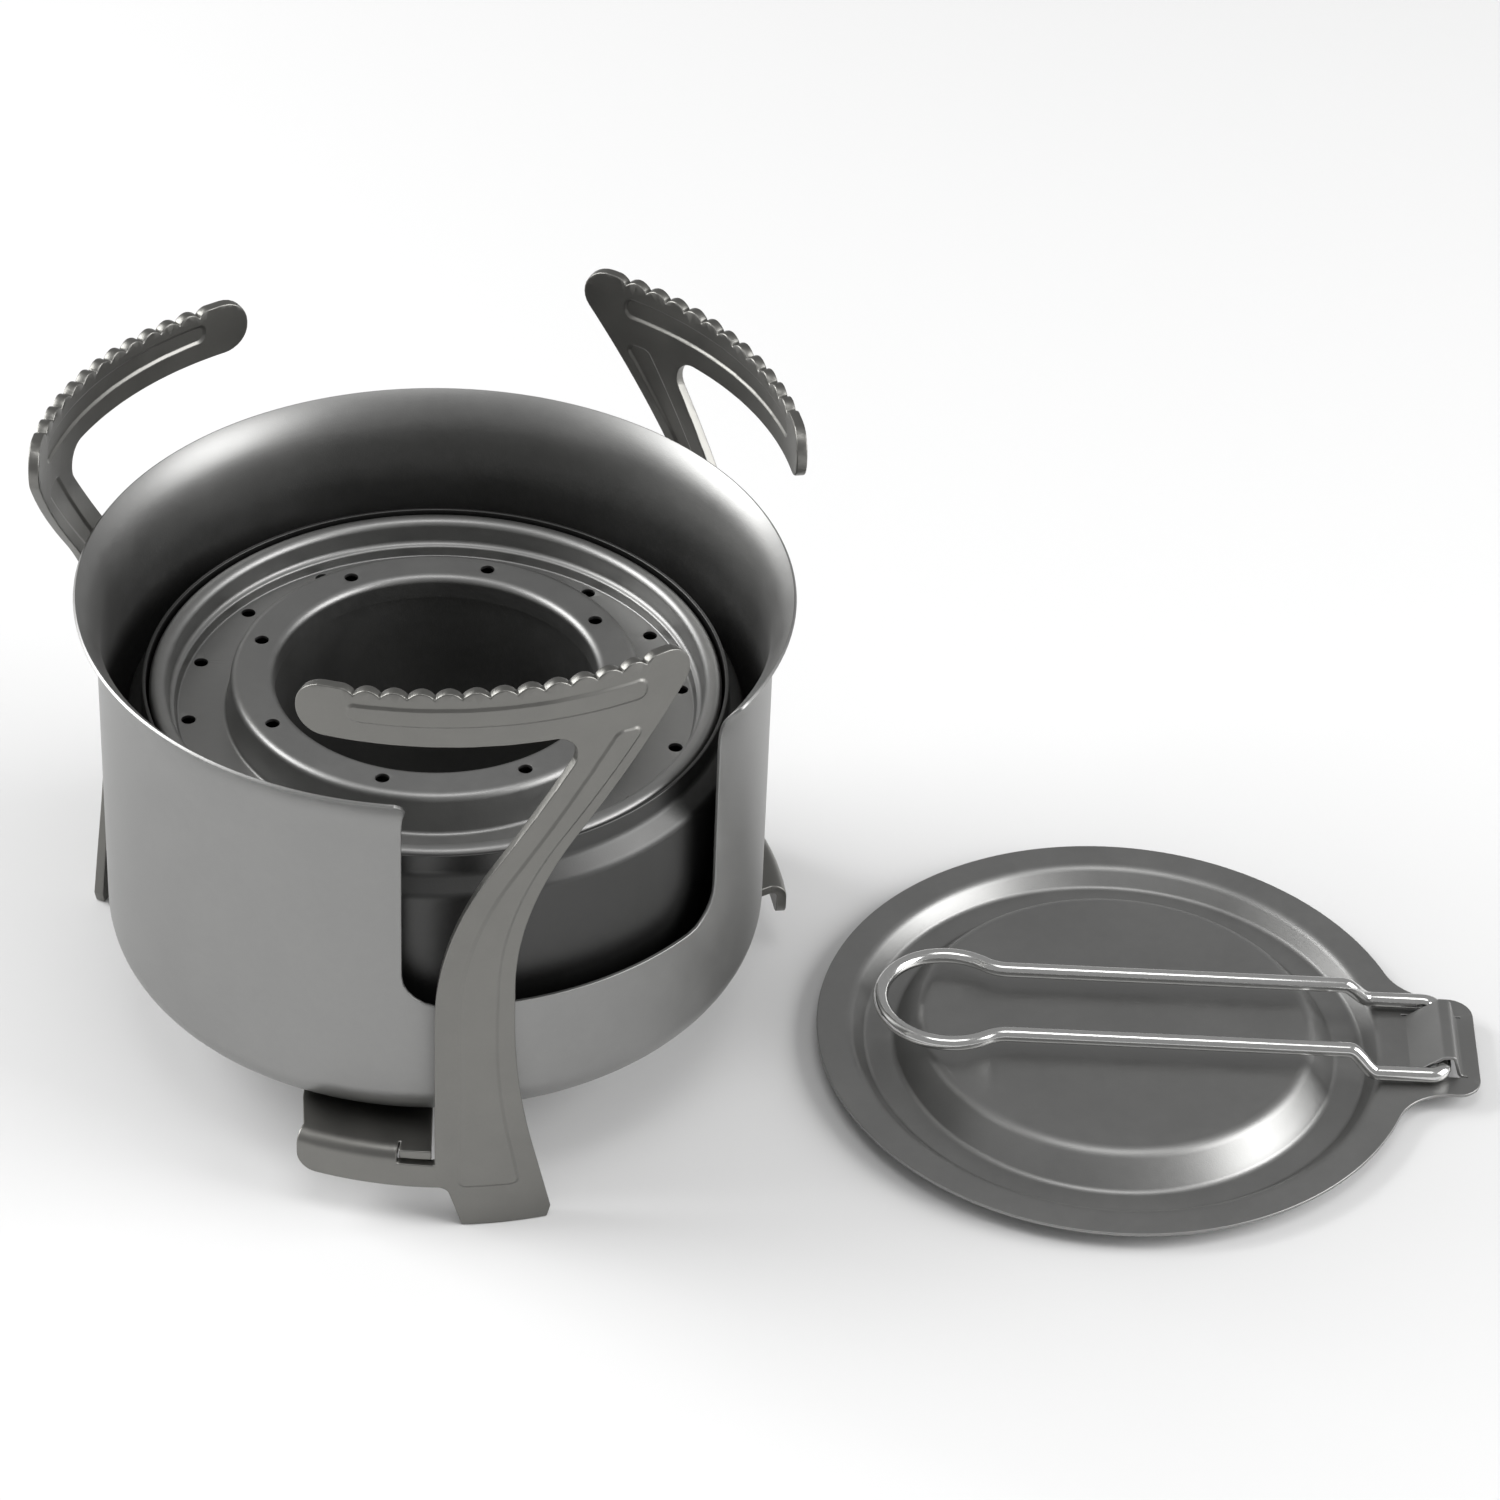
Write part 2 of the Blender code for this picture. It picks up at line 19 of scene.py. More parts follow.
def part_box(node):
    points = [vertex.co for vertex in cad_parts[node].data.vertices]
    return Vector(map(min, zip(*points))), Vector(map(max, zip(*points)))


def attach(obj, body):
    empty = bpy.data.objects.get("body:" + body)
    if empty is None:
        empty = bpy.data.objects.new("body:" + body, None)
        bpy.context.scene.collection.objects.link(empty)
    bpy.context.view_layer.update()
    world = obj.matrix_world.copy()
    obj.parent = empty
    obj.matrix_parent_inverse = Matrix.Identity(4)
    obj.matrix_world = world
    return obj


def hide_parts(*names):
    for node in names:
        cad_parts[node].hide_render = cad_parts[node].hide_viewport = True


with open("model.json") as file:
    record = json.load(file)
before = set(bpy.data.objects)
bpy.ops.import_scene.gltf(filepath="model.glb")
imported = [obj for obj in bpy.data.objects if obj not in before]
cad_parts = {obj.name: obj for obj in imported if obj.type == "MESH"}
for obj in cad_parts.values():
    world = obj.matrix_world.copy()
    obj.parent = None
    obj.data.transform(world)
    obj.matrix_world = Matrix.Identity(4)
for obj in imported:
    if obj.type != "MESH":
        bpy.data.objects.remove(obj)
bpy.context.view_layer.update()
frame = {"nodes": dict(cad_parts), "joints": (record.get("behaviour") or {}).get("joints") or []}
print("nodes in the frame:", sorted(frame["nodes"]))

# %% [markdown]
# ## Places that the frame gives
#
# Nothing is placed by eye. The stove's axis is the middle of the burner, the rim's height is the top of
# the windshield, and each pot support turns about the rivet that its joint names. The lid's own axes
# come from its handle's hinge: the hinge line runs across the tab, so the tab points square to it.

# %% Read the places
MM = 0.001
TABLE = 0.0
cup_low, cup_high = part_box("windshield")
burner_low, burner_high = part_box("burner_cup")
stove = (burner_low + burner_high) / 2
stove.z = 0.0
RIM_Z = cup_high.z
CUP_BOTTOM_Z = cup_low.z
RIM_RADIUS = stove.x - cup_low.x
joints = {joint["name"]: joint for joint in frame["joints"]}
hinge = joints["lid_handle_fold"]
hinge_point = Vector(hinge["pos_m"])
lid_across = Vector(hinge["axis"]).normalized()
lid_along = lid_across.cross(Vector((0, 0, 1)))
HINGE_OUT = 45.2 * MM                  # from the lid's middle to the hinge line
lid_centre = hinge_point - lid_along * HINGE_OUT
lid_centre.z = 0.0
print(f"stove axis {stove.x:.4f} {stove.y:.4f}, rim {RIM_RADIUS * 2000:.1f} mm at {RIM_Z * 1000:.1f} mm")

# %% [markdown]
# ## Helpers for outlines and skins
#
# An outline is a list of corners, each with the radius that rounds it, as on a drawing. `rounded` walks
# round them and turns every corner by a short arc. `spun` turns a line into a round skin, `loop` puts
# an outline into a mesh as a ring of edges, and `fill` closes a flat with triangles between its rings.

# %% Outlines
SPIN_STEPS = 180
LONGEST_CHORD = 1.2 * MM               # of an arc's facets


def polar(radius, angle, z=0.0):
    return Vector((radius * math.cos(angle), radius * math.sin(angle), z))


def rounded(corners, closed=True, arc_step=9.0, longest=5 * MM):
    """Points through (x, y, radius) corners in mm. Arcs are split finely, long runs now and then."""
    points = []
    last = len(corners) - 1
    for index, (x, y, radius) in enumerate(corners):
        here = Vector((x, y)) * MM
        if radius == 0 or (not closed and index in (0, last)):
            points.append(here)
            continue
        before = Vector(corners[index - 1][:2]) * MM
        after = Vector(corners[(index + 1) % len(corners)][:2]) * MM
        way_in, way_out = (here - before).normalized(), (after - here).normalized()
        turn = way_in.angle_signed(way_out)
        start = here - way_in * radius * MM * math.tan(abs(turn) / 2)
        side = Vector((way_in.y, -way_in.x)) * math.copysign(1.0, turn)
        centre = start + side * radius * MM
        pieces_of_arc = max(math.degrees(abs(turn)) / arc_step, abs(turn) * radius * MM / LONGEST_CHORD)
        count = max(3, math.ceil(pieces_of_arc) + 1)
        for step in range(count):
            points.append(centre + Matrix.Rotation(-turn * step / (count - 1), 2) @ (start - centre))
    if closed:
        points.append(points[0])
    split = [points[0]]
    for before, after in zip(points, points[1:]):
        parts = max(1, round((after - before).length / longest))
        split += [before.lerp(after, part / parts) for part in range(1, parts + 1)]
    return split[:-1] if closed else split


def loop(bm, points):
    """Add a closed ring of edges through the points to the mesh, and return its corners and edges."""
    verts = [bm.verts.new((*point, 0.0)) for point in points]
    edges = [bm.edges.new((verts[i - 1], verts[i])) for i in range(len(verts))]
    return verts, edges


def encloses(ring, spot):
    """Whether a spot lies inside a ring: a line from it crosses the ring an odd number of times."""
    crossings = 0
    for before, after in zip(ring, ring[1:] + ring[:1]):
        if (before.y > spot.y) != (after.y > spot.y):
            share = (spot.y - before.y) / (after.y - before.y)
            crossings += before.x + share * (after.x - before.x) > spot.x
    return crossings % 2 == 1


def fill(bm, rings):
    """Fill the flat inside the first ring of verts with triangles. The other rings stay holes."""
    verts = [vert for ring in rings for vert in ring]
    spots = [vert.co.xy / MM for vert in verts]
    kept_edges, holes, start = [], [], 0
    for ring in rings:
        numbers = list(range(start, start + len(ring)))
        kept_edges += zip(numbers, numbers[1:] + numbers[:1])
        holes.append([spots[number] for number in numbers])
        start += len(ring)
    _, _, faces, sources, _, _ = delaunay_2d_cdt(spots, kept_edges, [], 1, 1e-6)
    for face in faces:
        corners = [sources[number][0] for number in face]
        middle = sum((spots[number] for number in corners), Vector((0, 0))) / len(corners)
        if encloses(holes[0], middle) and not any(encloses(hole, middle) for hole in holes[1:]):
            bm.faces.new([verts[number] for number in corners])


def ring_of_verts(bm, centre, radius, z):
    """The verts on a level circle, in order round it."""
    def turn(vert):
        return math.atan2(vert.co.y - centre.y, vert.co.x - centre.x)
    on_ring = [vert for vert in bm.verts
               if abs((vert.co - centre).xy.length - radius) < 1e-5 and abs(vert.co.z - z) < 1e-5]
    return sorted(on_ring, key=turn)


def spun(bm, line, centre, steps=SPIN_STEPS):
    """Spin an open (radius, z) line round the vertical line through centre."""
    verts = [bm.verts.new((centre.x + radius, centre.y, z)) for radius, z in line]
    edges = [bm.edges.new(pair) for pair in zip(verts, verts[1:])]
    bmesh.ops.spin(bm, geom=verts + edges, axis=(0, 0, 1), cent=(centre.x, centre.y, 0),
                   angle=2 * math.pi, steps=steps, use_merge=True)
    bmesh.ops.remove_doubles(bm, verts=bm.verts, dist=1e-6)


square = rounded([(0, 0, 2), (10, 0, 2), (10, 10, 2), (0, 10, 2)])
print("a rounded square of 10 mm has", len(square), "points")

# %% [markdown]
# ## Helpers for finished pieces
#
# `face_out` makes all of a skin's faces agree and point away from the stove or up. `sheet` then gives it
# its wall with Solidify and breaks its cut edges with a small Bevel. Weighted normals let the big faces
# decide the shading, so that a flat stays flat right up to the bevel. A piece's object stays at the
# origin, and its place is in its mesh.

# %% Pieces
SHEET = 0.5 * MM
pieces = {}


def face_out(bm, guide):
    """Make the skin's faces agree, and turn them all over if the guide says they point inwards."""
    bmesh.ops.recalc_face_normals(bm, faces=bm.faces)
    widest = max(bm.faces, key=lambda face: face.calc_area())
    if guide(widest.calc_center_median()).dot(widest.normal) < 0:
        bmesh.ops.reverse_faces(bm, faces=bm.faces)


def away_from_stove(point):
    return Vector((point.x - stove.x, point.y - stove.y, 0.0))


def upwards(point):
    return Vector((0.0, 0.0, 1.0))


def shown(name, bm, body, material, node):
    """Put a mesh in the scene as a piece that rides on a body and stands for a node."""
    mesh = bpy.data.meshes.new(name)
    bm.to_mesh(mesh)
    bm.free()
    mesh.shade_smooth()
    mesh.materials.append(material)
    piece = bpy.data.objects.new(name, mesh)
    bpy.context.scene.collection.objects.link(piece)
    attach(piece, body)
    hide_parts(node)
    pieces[name] = piece
    return piece


def sheet(piece, wall=SHEET, offset=-1.0, edge=0.12 * MM, segments=2):
    """Give a skin its wall, a broken edge and shading led by its large faces."""
    thicken = piece.modifiers.new("Wall", "SOLIDIFY")
    thicken.thickness = wall
    thicken.offset = offset
    thicken.use_even_offset = True
    soften(piece, edge, segments)


def soften(piece, edge, segments=2):
    bevel = piece.modifiers.new("Broken edge", "BEVEL")
    bevel.width = edge
    bevel.segments = segments
    bevel.limit_method = "ANGLE"
    bevel.angle_limit = math.radians(50)
    bevel.use_clamp_overlap = True
    weighted = piece.modifiers.new("Shading", "WEIGHTED_NORMAL")
    weighted.keep_sharp = True


def triangles(piece):
    evaluated = piece.evaluated_get(bpy.context.evaluated_depsgraph_get())
    return sum(len(polygon.vertices) - 2 for polygon in evaluated.data.polygons)


print("sheet wall", SHEET * 1000, "mm")

# %% [markdown]
# ## Writing a material as arithmetic
#
# A finish is a small sum: a base value, plus a little noise. Wrapping a node's output in a class with
# Python's operators lets the recipe be written as that sum. Everything that is not arithmetic, such as a
# noise or a bump, comes from the one method `node`.

# %% The recipe class
class Amount:
    """A node's output that takes part in Python sums; each sum adds one Math node."""

    def __init__(self, recipe, output):
        self.recipe = recipe
        self.output = output

    def _sum(self, operation, first, second):
        return self.recipe.node("ShaderNodeMath", {"operation": operation}, {0: first, 1: second})

    def __add__(self, other):
        return self._sum("ADD", self, other)

    __radd__ = __add__

    def __sub__(self, other):
        return self._sum("SUBTRACT", self, other)

    def __rsub__(self, other):
        return self._sum("SUBTRACT", other, self)

    def __mul__(self, other):
        return self._sum("MULTIPLY", self, other)

    __rmul__ = __mul__


class Recipe:
    """One material's nodes."""

    def __init__(self, name):
        self.material = bpy.data.materials.new(name)
        self.material.use_nodes = True
        self.tree = self.material.node_tree
        self.shader = self.tree.nodes["Principled BSDF"]
        self.place = self.node("ShaderNodeTexCoord", {}, {}, "Object")

    def node(self, kind, settings, sockets, output=0):
        """Add a node: its settings first, then its sockets' values or links."""
        made = self.tree.nodes.new(kind)
        for name, value in settings.items():
            setattr(made, name, value)
        self.fill(made, sockets)
        return Amount(self, made.outputs[output])

    def fill(self, made, sockets):
        for name, value in sockets.items():
            if isinstance(value, Amount):
                self.tree.links.new(value.output, made.inputs[name])
            else:
                made.inputs[name].default_value = value

    def noise(self, size, detail=2.0, roughness=0.5):
        """Noise from 0 to 1 whose blotches are about `size` metres wide."""
        return self.node("ShaderNodeTexNoise", {}, {
            "Vector": self.place, "Scale": 1 / size, "Detail": detail, "Roughness": roughness}, "Fac")

    def blend(self, amount, first, second):
        """A colour between two colours."""
        factor, colour_a, colour_b, colour_out = 0, 6, 7, 2
        return self.node("ShaderNodeMix", {"data_type": "RGBA"}, {
            factor: amount, colour_a: (*first, 1.0), colour_b: (*second, 1.0)}, colour_out)

    def bump(self, height, distance, strength=1.0):
        return self.node("ShaderNodeBump", {}, {
            "Height": height, "Distance": distance, "Strength": strength}, "Normal")


print("a recipe starts with", len(Recipe("trial").tree.nodes), "nodes")
bpy.data.materials.remove(bpy.data.materials["trial"])

# %% [markdown]
# ## Blasted titanium
#
# The cup, the burner and the lid are bead-blasted: millions of tiny dents leave an even grey that takes
# no clear reflection but a soft, slightly sparkling glow. So the colour hardly varies, the roughness is
# middling, and a very fine bump a fifth of a millimetre wide gives the sparkle. A larger, weaker noise
# stands for the marks of handling. The fuel cup's wall is the same finish with its colour darkened to
# about a quarter: that darkness is painted shade, not a tint of the metal.

# %% Blasted titanium
# A shade below 1 darkens the whole colour: this is painted shade, used for the fuel cup's wall.
def blasted_titanium(name, shade=1.0):
    recipe = Recipe(name)
    grain = recipe.noise(0.2 * MM, detail=2.0)
    cloud = recipe.noise(9 * MM, detail=3.0)
    handling = recipe.noise(1.4 * MM, detail=4.0, roughness=0.65)
    dark, light = (0.265, 0.265, 0.262), (0.335, 0.334, 0.328)
    tone = recipe.blend(0.6 * cloud + 0.4 * handling, [shade * part for part in dark],
                        [shade * part for part in light])
    recipe.fill(recipe.shader, {
        "Base Color": tone,
        "Metallic": 1.0,
        "Roughness": 0.36 + 0.10 * cloud + 0.06 * handling,
        "Normal": recipe.bump(grain + 0.25 * handling, 0.012 * MM, 0.9),
    })
    return recipe.material


BLASTED = blasted_titanium("blasted titanium")
# Painted shade: the fuel cup's wall gets the blasted finish at 0.28 of its colour, standing in for the
# shade inside the windshield.
SHADE_PAINTED_TITANIUM = blasted_titanium("blasted titanium in painted shade", shade=0.28)
print(BLASTED.name, "has", len(BLASTED.node_tree.nodes), "nodes")

# %% [markdown]
# ## Rolled titanium
#
# The pot supports are stamped from thicker rolled sheet and tumbled. They are smoother and a little
# warmer than the cup, with fine specks where the stones have touched them.

# %% Rolled titanium
def rolled_titanium():
    recipe = Recipe("rolled titanium")
    cloud = recipe.noise(6 * MM, detail=3.0)
    speck = recipe.noise(0.5 * MM, detail=3.0, roughness=0.7)
    fine = recipe.noise(0.12 * MM)
    tone = recipe.blend(0.7 * cloud + 0.3 * speck, (0.175, 0.173, 0.164), (0.235, 0.232, 0.218))
    recipe.fill(recipe.shader, {
        "Base Color": tone,
        "Metallic": 1.0,
        "Roughness": 0.29 + 0.12 * cloud + 0.08 * speck,
        "Normal": recipe.bump(speck + 0.4 * fine, 0.012 * MM, 0.6),
    })
    return recipe.material


ROLLED = rolled_titanium()
print(ROLLED.name, "has", len(ROLLED.node_tree.nodes), "nodes")

# %% [markdown]
# ## Polished wire and turned rivets
#
# The handle is drawn stainless wire, nearly a mirror with faint draw marks. The rivets are satin.

# %% Wire and rivets
def polished_wire():
    recipe = Recipe("polished wire")
    marks = recipe.noise(0.35 * MM, detail=3.0, roughness=0.7)
    recipe.fill(recipe.shader, {
        "Base Color": recipe.blend(marks, (0.60, 0.60, 0.59), (0.74, 0.74, 0.73)),
        "Metallic": 1.0,
        "Roughness": 0.10 + 0.10 * marks,
        "Normal": recipe.bump(marks, 0.01 * MM, 0.3),
    })
    return recipe.material


def satin_rivet():
    recipe = Recipe("satin rivet")
    marks = recipe.noise(0.3 * MM, detail=3.0)
    recipe.fill(recipe.shader, {
        "Base Color": recipe.blend(marks, (0.40, 0.395, 0.38), (0.52, 0.515, 0.50)),
        "Metallic": 1.0,
        "Roughness": 0.26 + 0.14 * marks,
        "Normal": recipe.bump(marks, 0.01 * MM, 0.5),
    })
    return recipe.material


WIRE = polished_wire()
RIVET = satin_rivet()
print(WIRE.name, "and", RIVET.name, "are ready")

# %% [markdown]
# ## The windshield cup
#
# The cup is deep-drawn: a flat floor, a round corner, a straight wall and a lip that curls outwards. A
# spun line gives that skin. The window is punched sideways through the wall, so it is cut with planes:
# two for its sides, one for its bottom and a fan of short ones for each round corner. The cuts leave new
# points on the flat facets between the spun columns, so every point is put back on the round wall
# before the faces inside the window are taken out.

# %% The cup's profile
CUP_RADIUS = 45.15 * MM
CUP_FILLET = 6.0 * MM
LIP_TURN = 0.3 * MM                    # the lip's thickness stands this far above its outer line
FLARE_HEIGHT = 8.2 * MM
FLARE_CURVE = 3.0                      # power of the lip's curl
WINDOW_ANGLE = math.radians(-65.4)
WINDOW_HALF = 22.8 * MM
WINDOW_BOTTOM_Z = 33.2 * MM
WINDOW_CORNER = 5.0 * MM
WINDOW_TOP_CORNER = 3.4 * MM
flare_top = RIM_Z - LIP_TURN
flare_low = flare_top - FLARE_HEIGHT


def wall_radius(z):
    """The outer skin's radius at a height above the cup's round corner."""
    rise = max(0.0, (z - flare_low) / FLARE_HEIGHT)
    return CUP_RADIUS + (RIM_RADIUS - CUP_RADIUS) * rise ** FLARE_CURVE


def cup_line():
    floor_and_wall = rounded([
        (0, CUP_BOTTOM_Z / MM, 0), (CUP_RADIUS / MM, CUP_BOTTOM_Z / MM, CUP_FILLET / MM),
        (CUP_RADIUS / MM, flare_low / MM, 0)], closed=False, arc_step=7.0, longest=3 * MM)
    flare_rows = 14
    flare = [Vector((wall_radius(z), z)) for z in
             (flare_low + FLARE_HEIGHT * row / flare_rows for row in range(1, flare_rows + 1))]
    return floor_and_wall + flare


print("the cup's line has", len(cup_line()), "points")

# %% Punch the window
window_out = polar(1.0, WINDOW_ANGLE)
window_across = polar(1.0, WINDOW_ANGLE + math.pi / 2)


def across(point):
    return (point - stove).dot(window_across)


def corner_chords(middle, z, radius, first, last, parts=6):
    """The chords of a quarter circle, as pairs of (across, z) points."""
    turns = [math.radians(first + (last - first) * part / parts) for part in range(parts + 1)]
    points = [Vector((middle + radius * math.cos(turn), z + radius * math.sin(turn))) for turn in turns]
    return list(zip(points, points[1:]))


def outer_side(chord, spot):
    """How far a spot lies outside a chord whose corner turns anticlockwise."""
    along = (chord[1] - chord[0]).normalized()
    return (spot - chord[0]).dot(Vector((along.y, -along.x)))


def slice_wall(bm, start, end, near):
    """Cut the faces that `near` picks with the plane through two (across, z) points."""
    along = end - start
    normal = window_across * along.y + Vector((0, 0, -along.x))
    faces = [face for face in bm.faces if near(face)]
    cut = {part for face in faces for part in (*face.verts, *face.edges, face)}
    point = stove + window_across * start.x + Vector((0, 0, start.y))
    bmesh.ops.bisect_plane(bm, geom=list(cut), dist=1e-7, plane_co=point, plane_no=normal)


def punch_window(bm):
    low, high = WINDOW_BOTTOM_Z, RIM_Z - WINDOW_TOP_CORNER
    inner = WINDOW_HALF - WINDOW_CORNER
    outer = WINDOW_HALF + WINDOW_TOP_CORNER
    bottom_corners = {
        -1: corner_chords(-inner, low + WINDOW_CORNER, WINDOW_CORNER, 180, 270),
        1: corner_chords(inner, low + WINDOW_CORNER, WINDOW_CORNER, 270, 360)}
    top_corners = {
        -1: corner_chords(-outer, high, WINDOW_TOP_CORNER, 0, 90),
        1: corner_chords(outer, high, WINDOW_TOP_CORNER, 90, 180)}

    def on_window_side(face):
        return (face.calc_center_median() - stove).dot(window_out) > 0

    def around(side, low_z, high_z, from_across, to_across):
        def picks(face):
            spot = face.calc_center_median()
            return (on_window_side(face) and low_z < spot.z < high_z
                    and from_across < side * across(spot) < to_across)
        return picks

    margin = 2 * MM
    for side in (-1, 1):
        edge = side * WINDOW_HALF
        slice_wall(bm, Vector((edge, 0)), Vector((edge, RIM_Z)), on_window_side)
        for start, end in bottom_corners[side]:
            slice_wall(bm, start, end, around(side, low - margin, low + WINDOW_CORNER + margin,
                                              inner - margin, WINDOW_HALF + margin))
        for start, end in top_corners[side]:
            slice_wall(bm, start, end, around(side, high - margin, RIM_Z + margin,
                                              WINDOW_HALF - margin, outer + margin))
    slice_wall(bm, Vector((0, low)), Vector((WINDOW_HALF, low)), on_window_side)

    for vert in bm.verts:
        if vert.co.z > CUP_BOTTOM_Z + CUP_FILLET:
            spoke = vert.co - stove
            spoke.z = 0.0
            vert.co = stove + spoke.normalized() * wall_radius(vert.co.z) + Vector((0, 0, vert.co.z))

    def inside(face):
        middle = face.calc_center_median()
        side = math.copysign(1, across(middle))
        spot = Vector((across(middle), middle.z))
        if not on_window_side(face) or spot.y < low:
            return False
        if abs(spot.x) < WINDOW_HALF:
            in_corner = abs(spot.x) > inner and spot.y < low + WINDOW_CORNER
            return not in_corner or all(outer_side(c, spot) < 0 for c in bottom_corners[side])
        in_corner = abs(spot.x) < outer and spot.y > high
        return in_corner and any(outer_side(c, spot) > 0 for c in top_corners[side])

    gone = [face for face in bm.faces if inside(face)]
    bmesh.ops.delete(bm, geom=gone, context="FACES")
    return len(gone)


skin = bmesh.new()
spun(skin, cup_line(), stove)
removed = punch_window(skin)
sliver = 0.09 * MM
bmesh.ops.remove_doubles(skin, verts=skin.verts, dist=sliver)
face_out(skin, away_from_stove)
cup = shown("windshield_shell", skin, "windshield", BLASTED, "windshield")
sheet(cup, edge=0.14 * MM)
print("the window took", removed, "faces out; the cup has", triangles(cup), "triangles")

# %% [markdown]
# ## The rivets
#
# Each pot support turns on a rivet through the cup's floor, with a low domed head below and a flat one
# inside, which the burner stands on. A rivet is a spun line from one pole to the other.

# %% Rivets
RIVET_RADIUS = 1.5 * MM
DOME_RISE = 0.3 * MM
supports = ("front", "left", "right")
for name in supports:
    node = "pivot_rivet_" + name
    low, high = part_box(node)
    middle = (low + high) / 2
    head = (high.x - low.x) / 2
    head_height = 0.8 * MM
    rivet_line = rounded([
        (0, low.z / MM, 0), (head * 0.55 / MM, low.z / MM, 2.5),
        (head / MM, (low.z + DOME_RISE) / MM, 0.25), (head / MM, (low.z + head_height) / MM, 0.1),
        (RIVET_RADIUS / MM, (low.z + head_height) / MM, 0),
        (RIVET_RADIUS / MM, (high.z - head_height) / MM, 0),
        (head / MM, (high.z - head_height) / MM, 0.1), (head / MM, high.z / MM, 0.3), (0, high.z / MM, 0)],
        closed=False)
    skin = bmesh.new()
    spun(skin, rivet_line, middle, steps=40)
    bmesh.ops.recalc_face_normals(skin, faces=skin.faces)
    rivet = shown("rivet_" + name, skin, "windshield", RIVET, node)
    rivet.data.set_sharp_from_angle(angle=math.radians(40))
print("three rivets,", triangles(rivet), "triangles each")

# %% [markdown]
# ## The pot supports
#
# A pot support is stamped from one flat sheet and then bent twice: the whole blade is rolled to the cup's
# curve, and its foot's upper edge is folded inwards into a flange that turns on the rivet. So it is
# modelled as it is made. The pattern is drawn flat, with degrees round the stove for its length. Two
# long panels are pressed outwards with Inset, which stiffens the blade. The sheet gets its thickness
# and its broken edges while it is still flat, is sliced across so that it can bend, and every point is
# then carried to its bent place by one formula.

# %% Pattern of a pot support
BLADE_RADIUS = 49.28 * MM              # the middle of the sheet, about the stove's axis
BLADE = 1.4 * MM
BLADE_GAP = 0.3 * MM
BEND = 1.3 * MM                        # the fold's radius, at the middle of the sheet
FLANGE_Z = CUP_BOTTOM_Z - BLADE_GAP - BLADE / 2
FLANGE_END = 8.6                       # mm, its round end about the rivet
BEND_LOW = FLANGE_Z - BEND
BEND_HIGH = BEND_LOW + BEND * math.pi / 2
DEGREE = math.radians(1.0) * BLADE_RADIUS / MM      # mm of pattern for a degree round the stove
RELIEF = (9.6, 9.85)                   # the cut that ends the fold
PATCH_EDGE = 11.02                     # mm, the unfolded patch starts just above the slit
PATCH_TO, BLADE_FROM = 14.9, 15.4
BAR_LOW = 50 * MM                      # everything on the flange's side above this is the bar
TEETH, TOOTH_FIRST, TOOTH_PITCH = 12, 3.73, 3.93
VALLEY_Z, VALLEY_RISE, TOOTH_HEIGHT = 86.7, 0.12, 0.97


def flange_spot(x, y, rivet_circle):
    """A spot of the flange's plan, in mm from the rivet, as degrees and height on the flat pattern."""
    plan = Vector((rivet_circle / MM + x, y))
    inwards = (BLADE_RADIUS - BEND) / MM - plan.length
    return math.degrees(math.atan2(plan.y, plan.x)), BEND_HIGH / MM + inwards


def flange_outline(rivet_circle):
    """From the patch's corner round the rivet and back to the fold, on the flat pattern."""
    facing = math.radians(14.4)
    corners = []
    for step in range(17):
        spoke = polar(FLANGE_END, facing + math.pi / 2 + math.pi * step / 16)
        corners.append((*flange_spot(spoke.x, spoke.y, rivet_circle), 0))
    return corners


def teeth():
    """Broad round humps with narrow valleys between them, from the elbow to the tip."""
    points = []
    parts = 12
    first, last = -0.42, TEETH - 1 + 0.42
    count = round((last - first) * parts)
    for step in reversed(range(count + 1)):
        pitches = first + (last - first) * step / count
        hump = abs(math.sin(math.pi * pitches)) ** 0.75
        points.append((TOOTH_FIRST + TOOTH_PITCH * pitches,
                       VALLEY_Z + VALLEY_RISE * pitches + TOOTH_HEIGHT * hump, 0))
    return points


def on_pattern(corners):
    return rounded([(degrees * DEGREE, height, radius) for degrees, height, radius in corners],
                   arc_step=12.0)


def support_outline(rivet_circle):
    fold_end = BEND_HIGH / MM + 0.3
    slit = BEND_LOW / MM
    return on_pattern([
        (-5.0, 79.8, 3.7), (39.25, 79.8, 3.0), (BLADE_FROM, 48.6, 45.0), (BLADE_FROM, slit, 0.3),
        (RELIEF[0], slit, 0), (RELIEF[0], fold_end, 0), (RELIEF[1], fold_end, 0),
        (RELIEF[1], PATCH_EDGE, 0.2), (PATCH_TO, PATCH_EDGE, 0.2), *flange_outline(rivet_circle),
        (-6.3, fold_end, 0), (-6.3, 6.6, 2.6), (17.2, 6.6, 1.5), (19.5, 0.05, 0.2),
        (32.7, 0.05, 0.2), (33.3, 1.8, 0.4), (27.4, 24.4, 100.0), (27.4, 53.8, 39.0),
        (59.4, 89.5, 3.7), *teeth(), (-5.0, 87.5, 3.7)])


BAR_PANEL = [(2.6, 82.6, 1.5), (47.3, 82.9, 1.5), (47.3, 86.5, 1.5), (2.6, 85.7, 1.2)]
STRUT_PANEL = [(42.2, 79.2, 1.8), (47.9, 79.2, 1.2), (25.5, 53.8, 40), (24.9, 24.4, 98),
               (28.7, 6.6, 1.2), (18.7, 6.6, 1.2), (18.7, 48.6, 42)]
PRESS = ((0.06, 0.0), (0.11, 0.03), (0.16, 0.10), (0.16, 0.10), (0.11, 0.03), (0.06, 0.0))
print("the pattern's edge has", len(support_outline(35 * MM)), "points; panels rise",
      sum(rise for _, rise in PRESS), "mm")


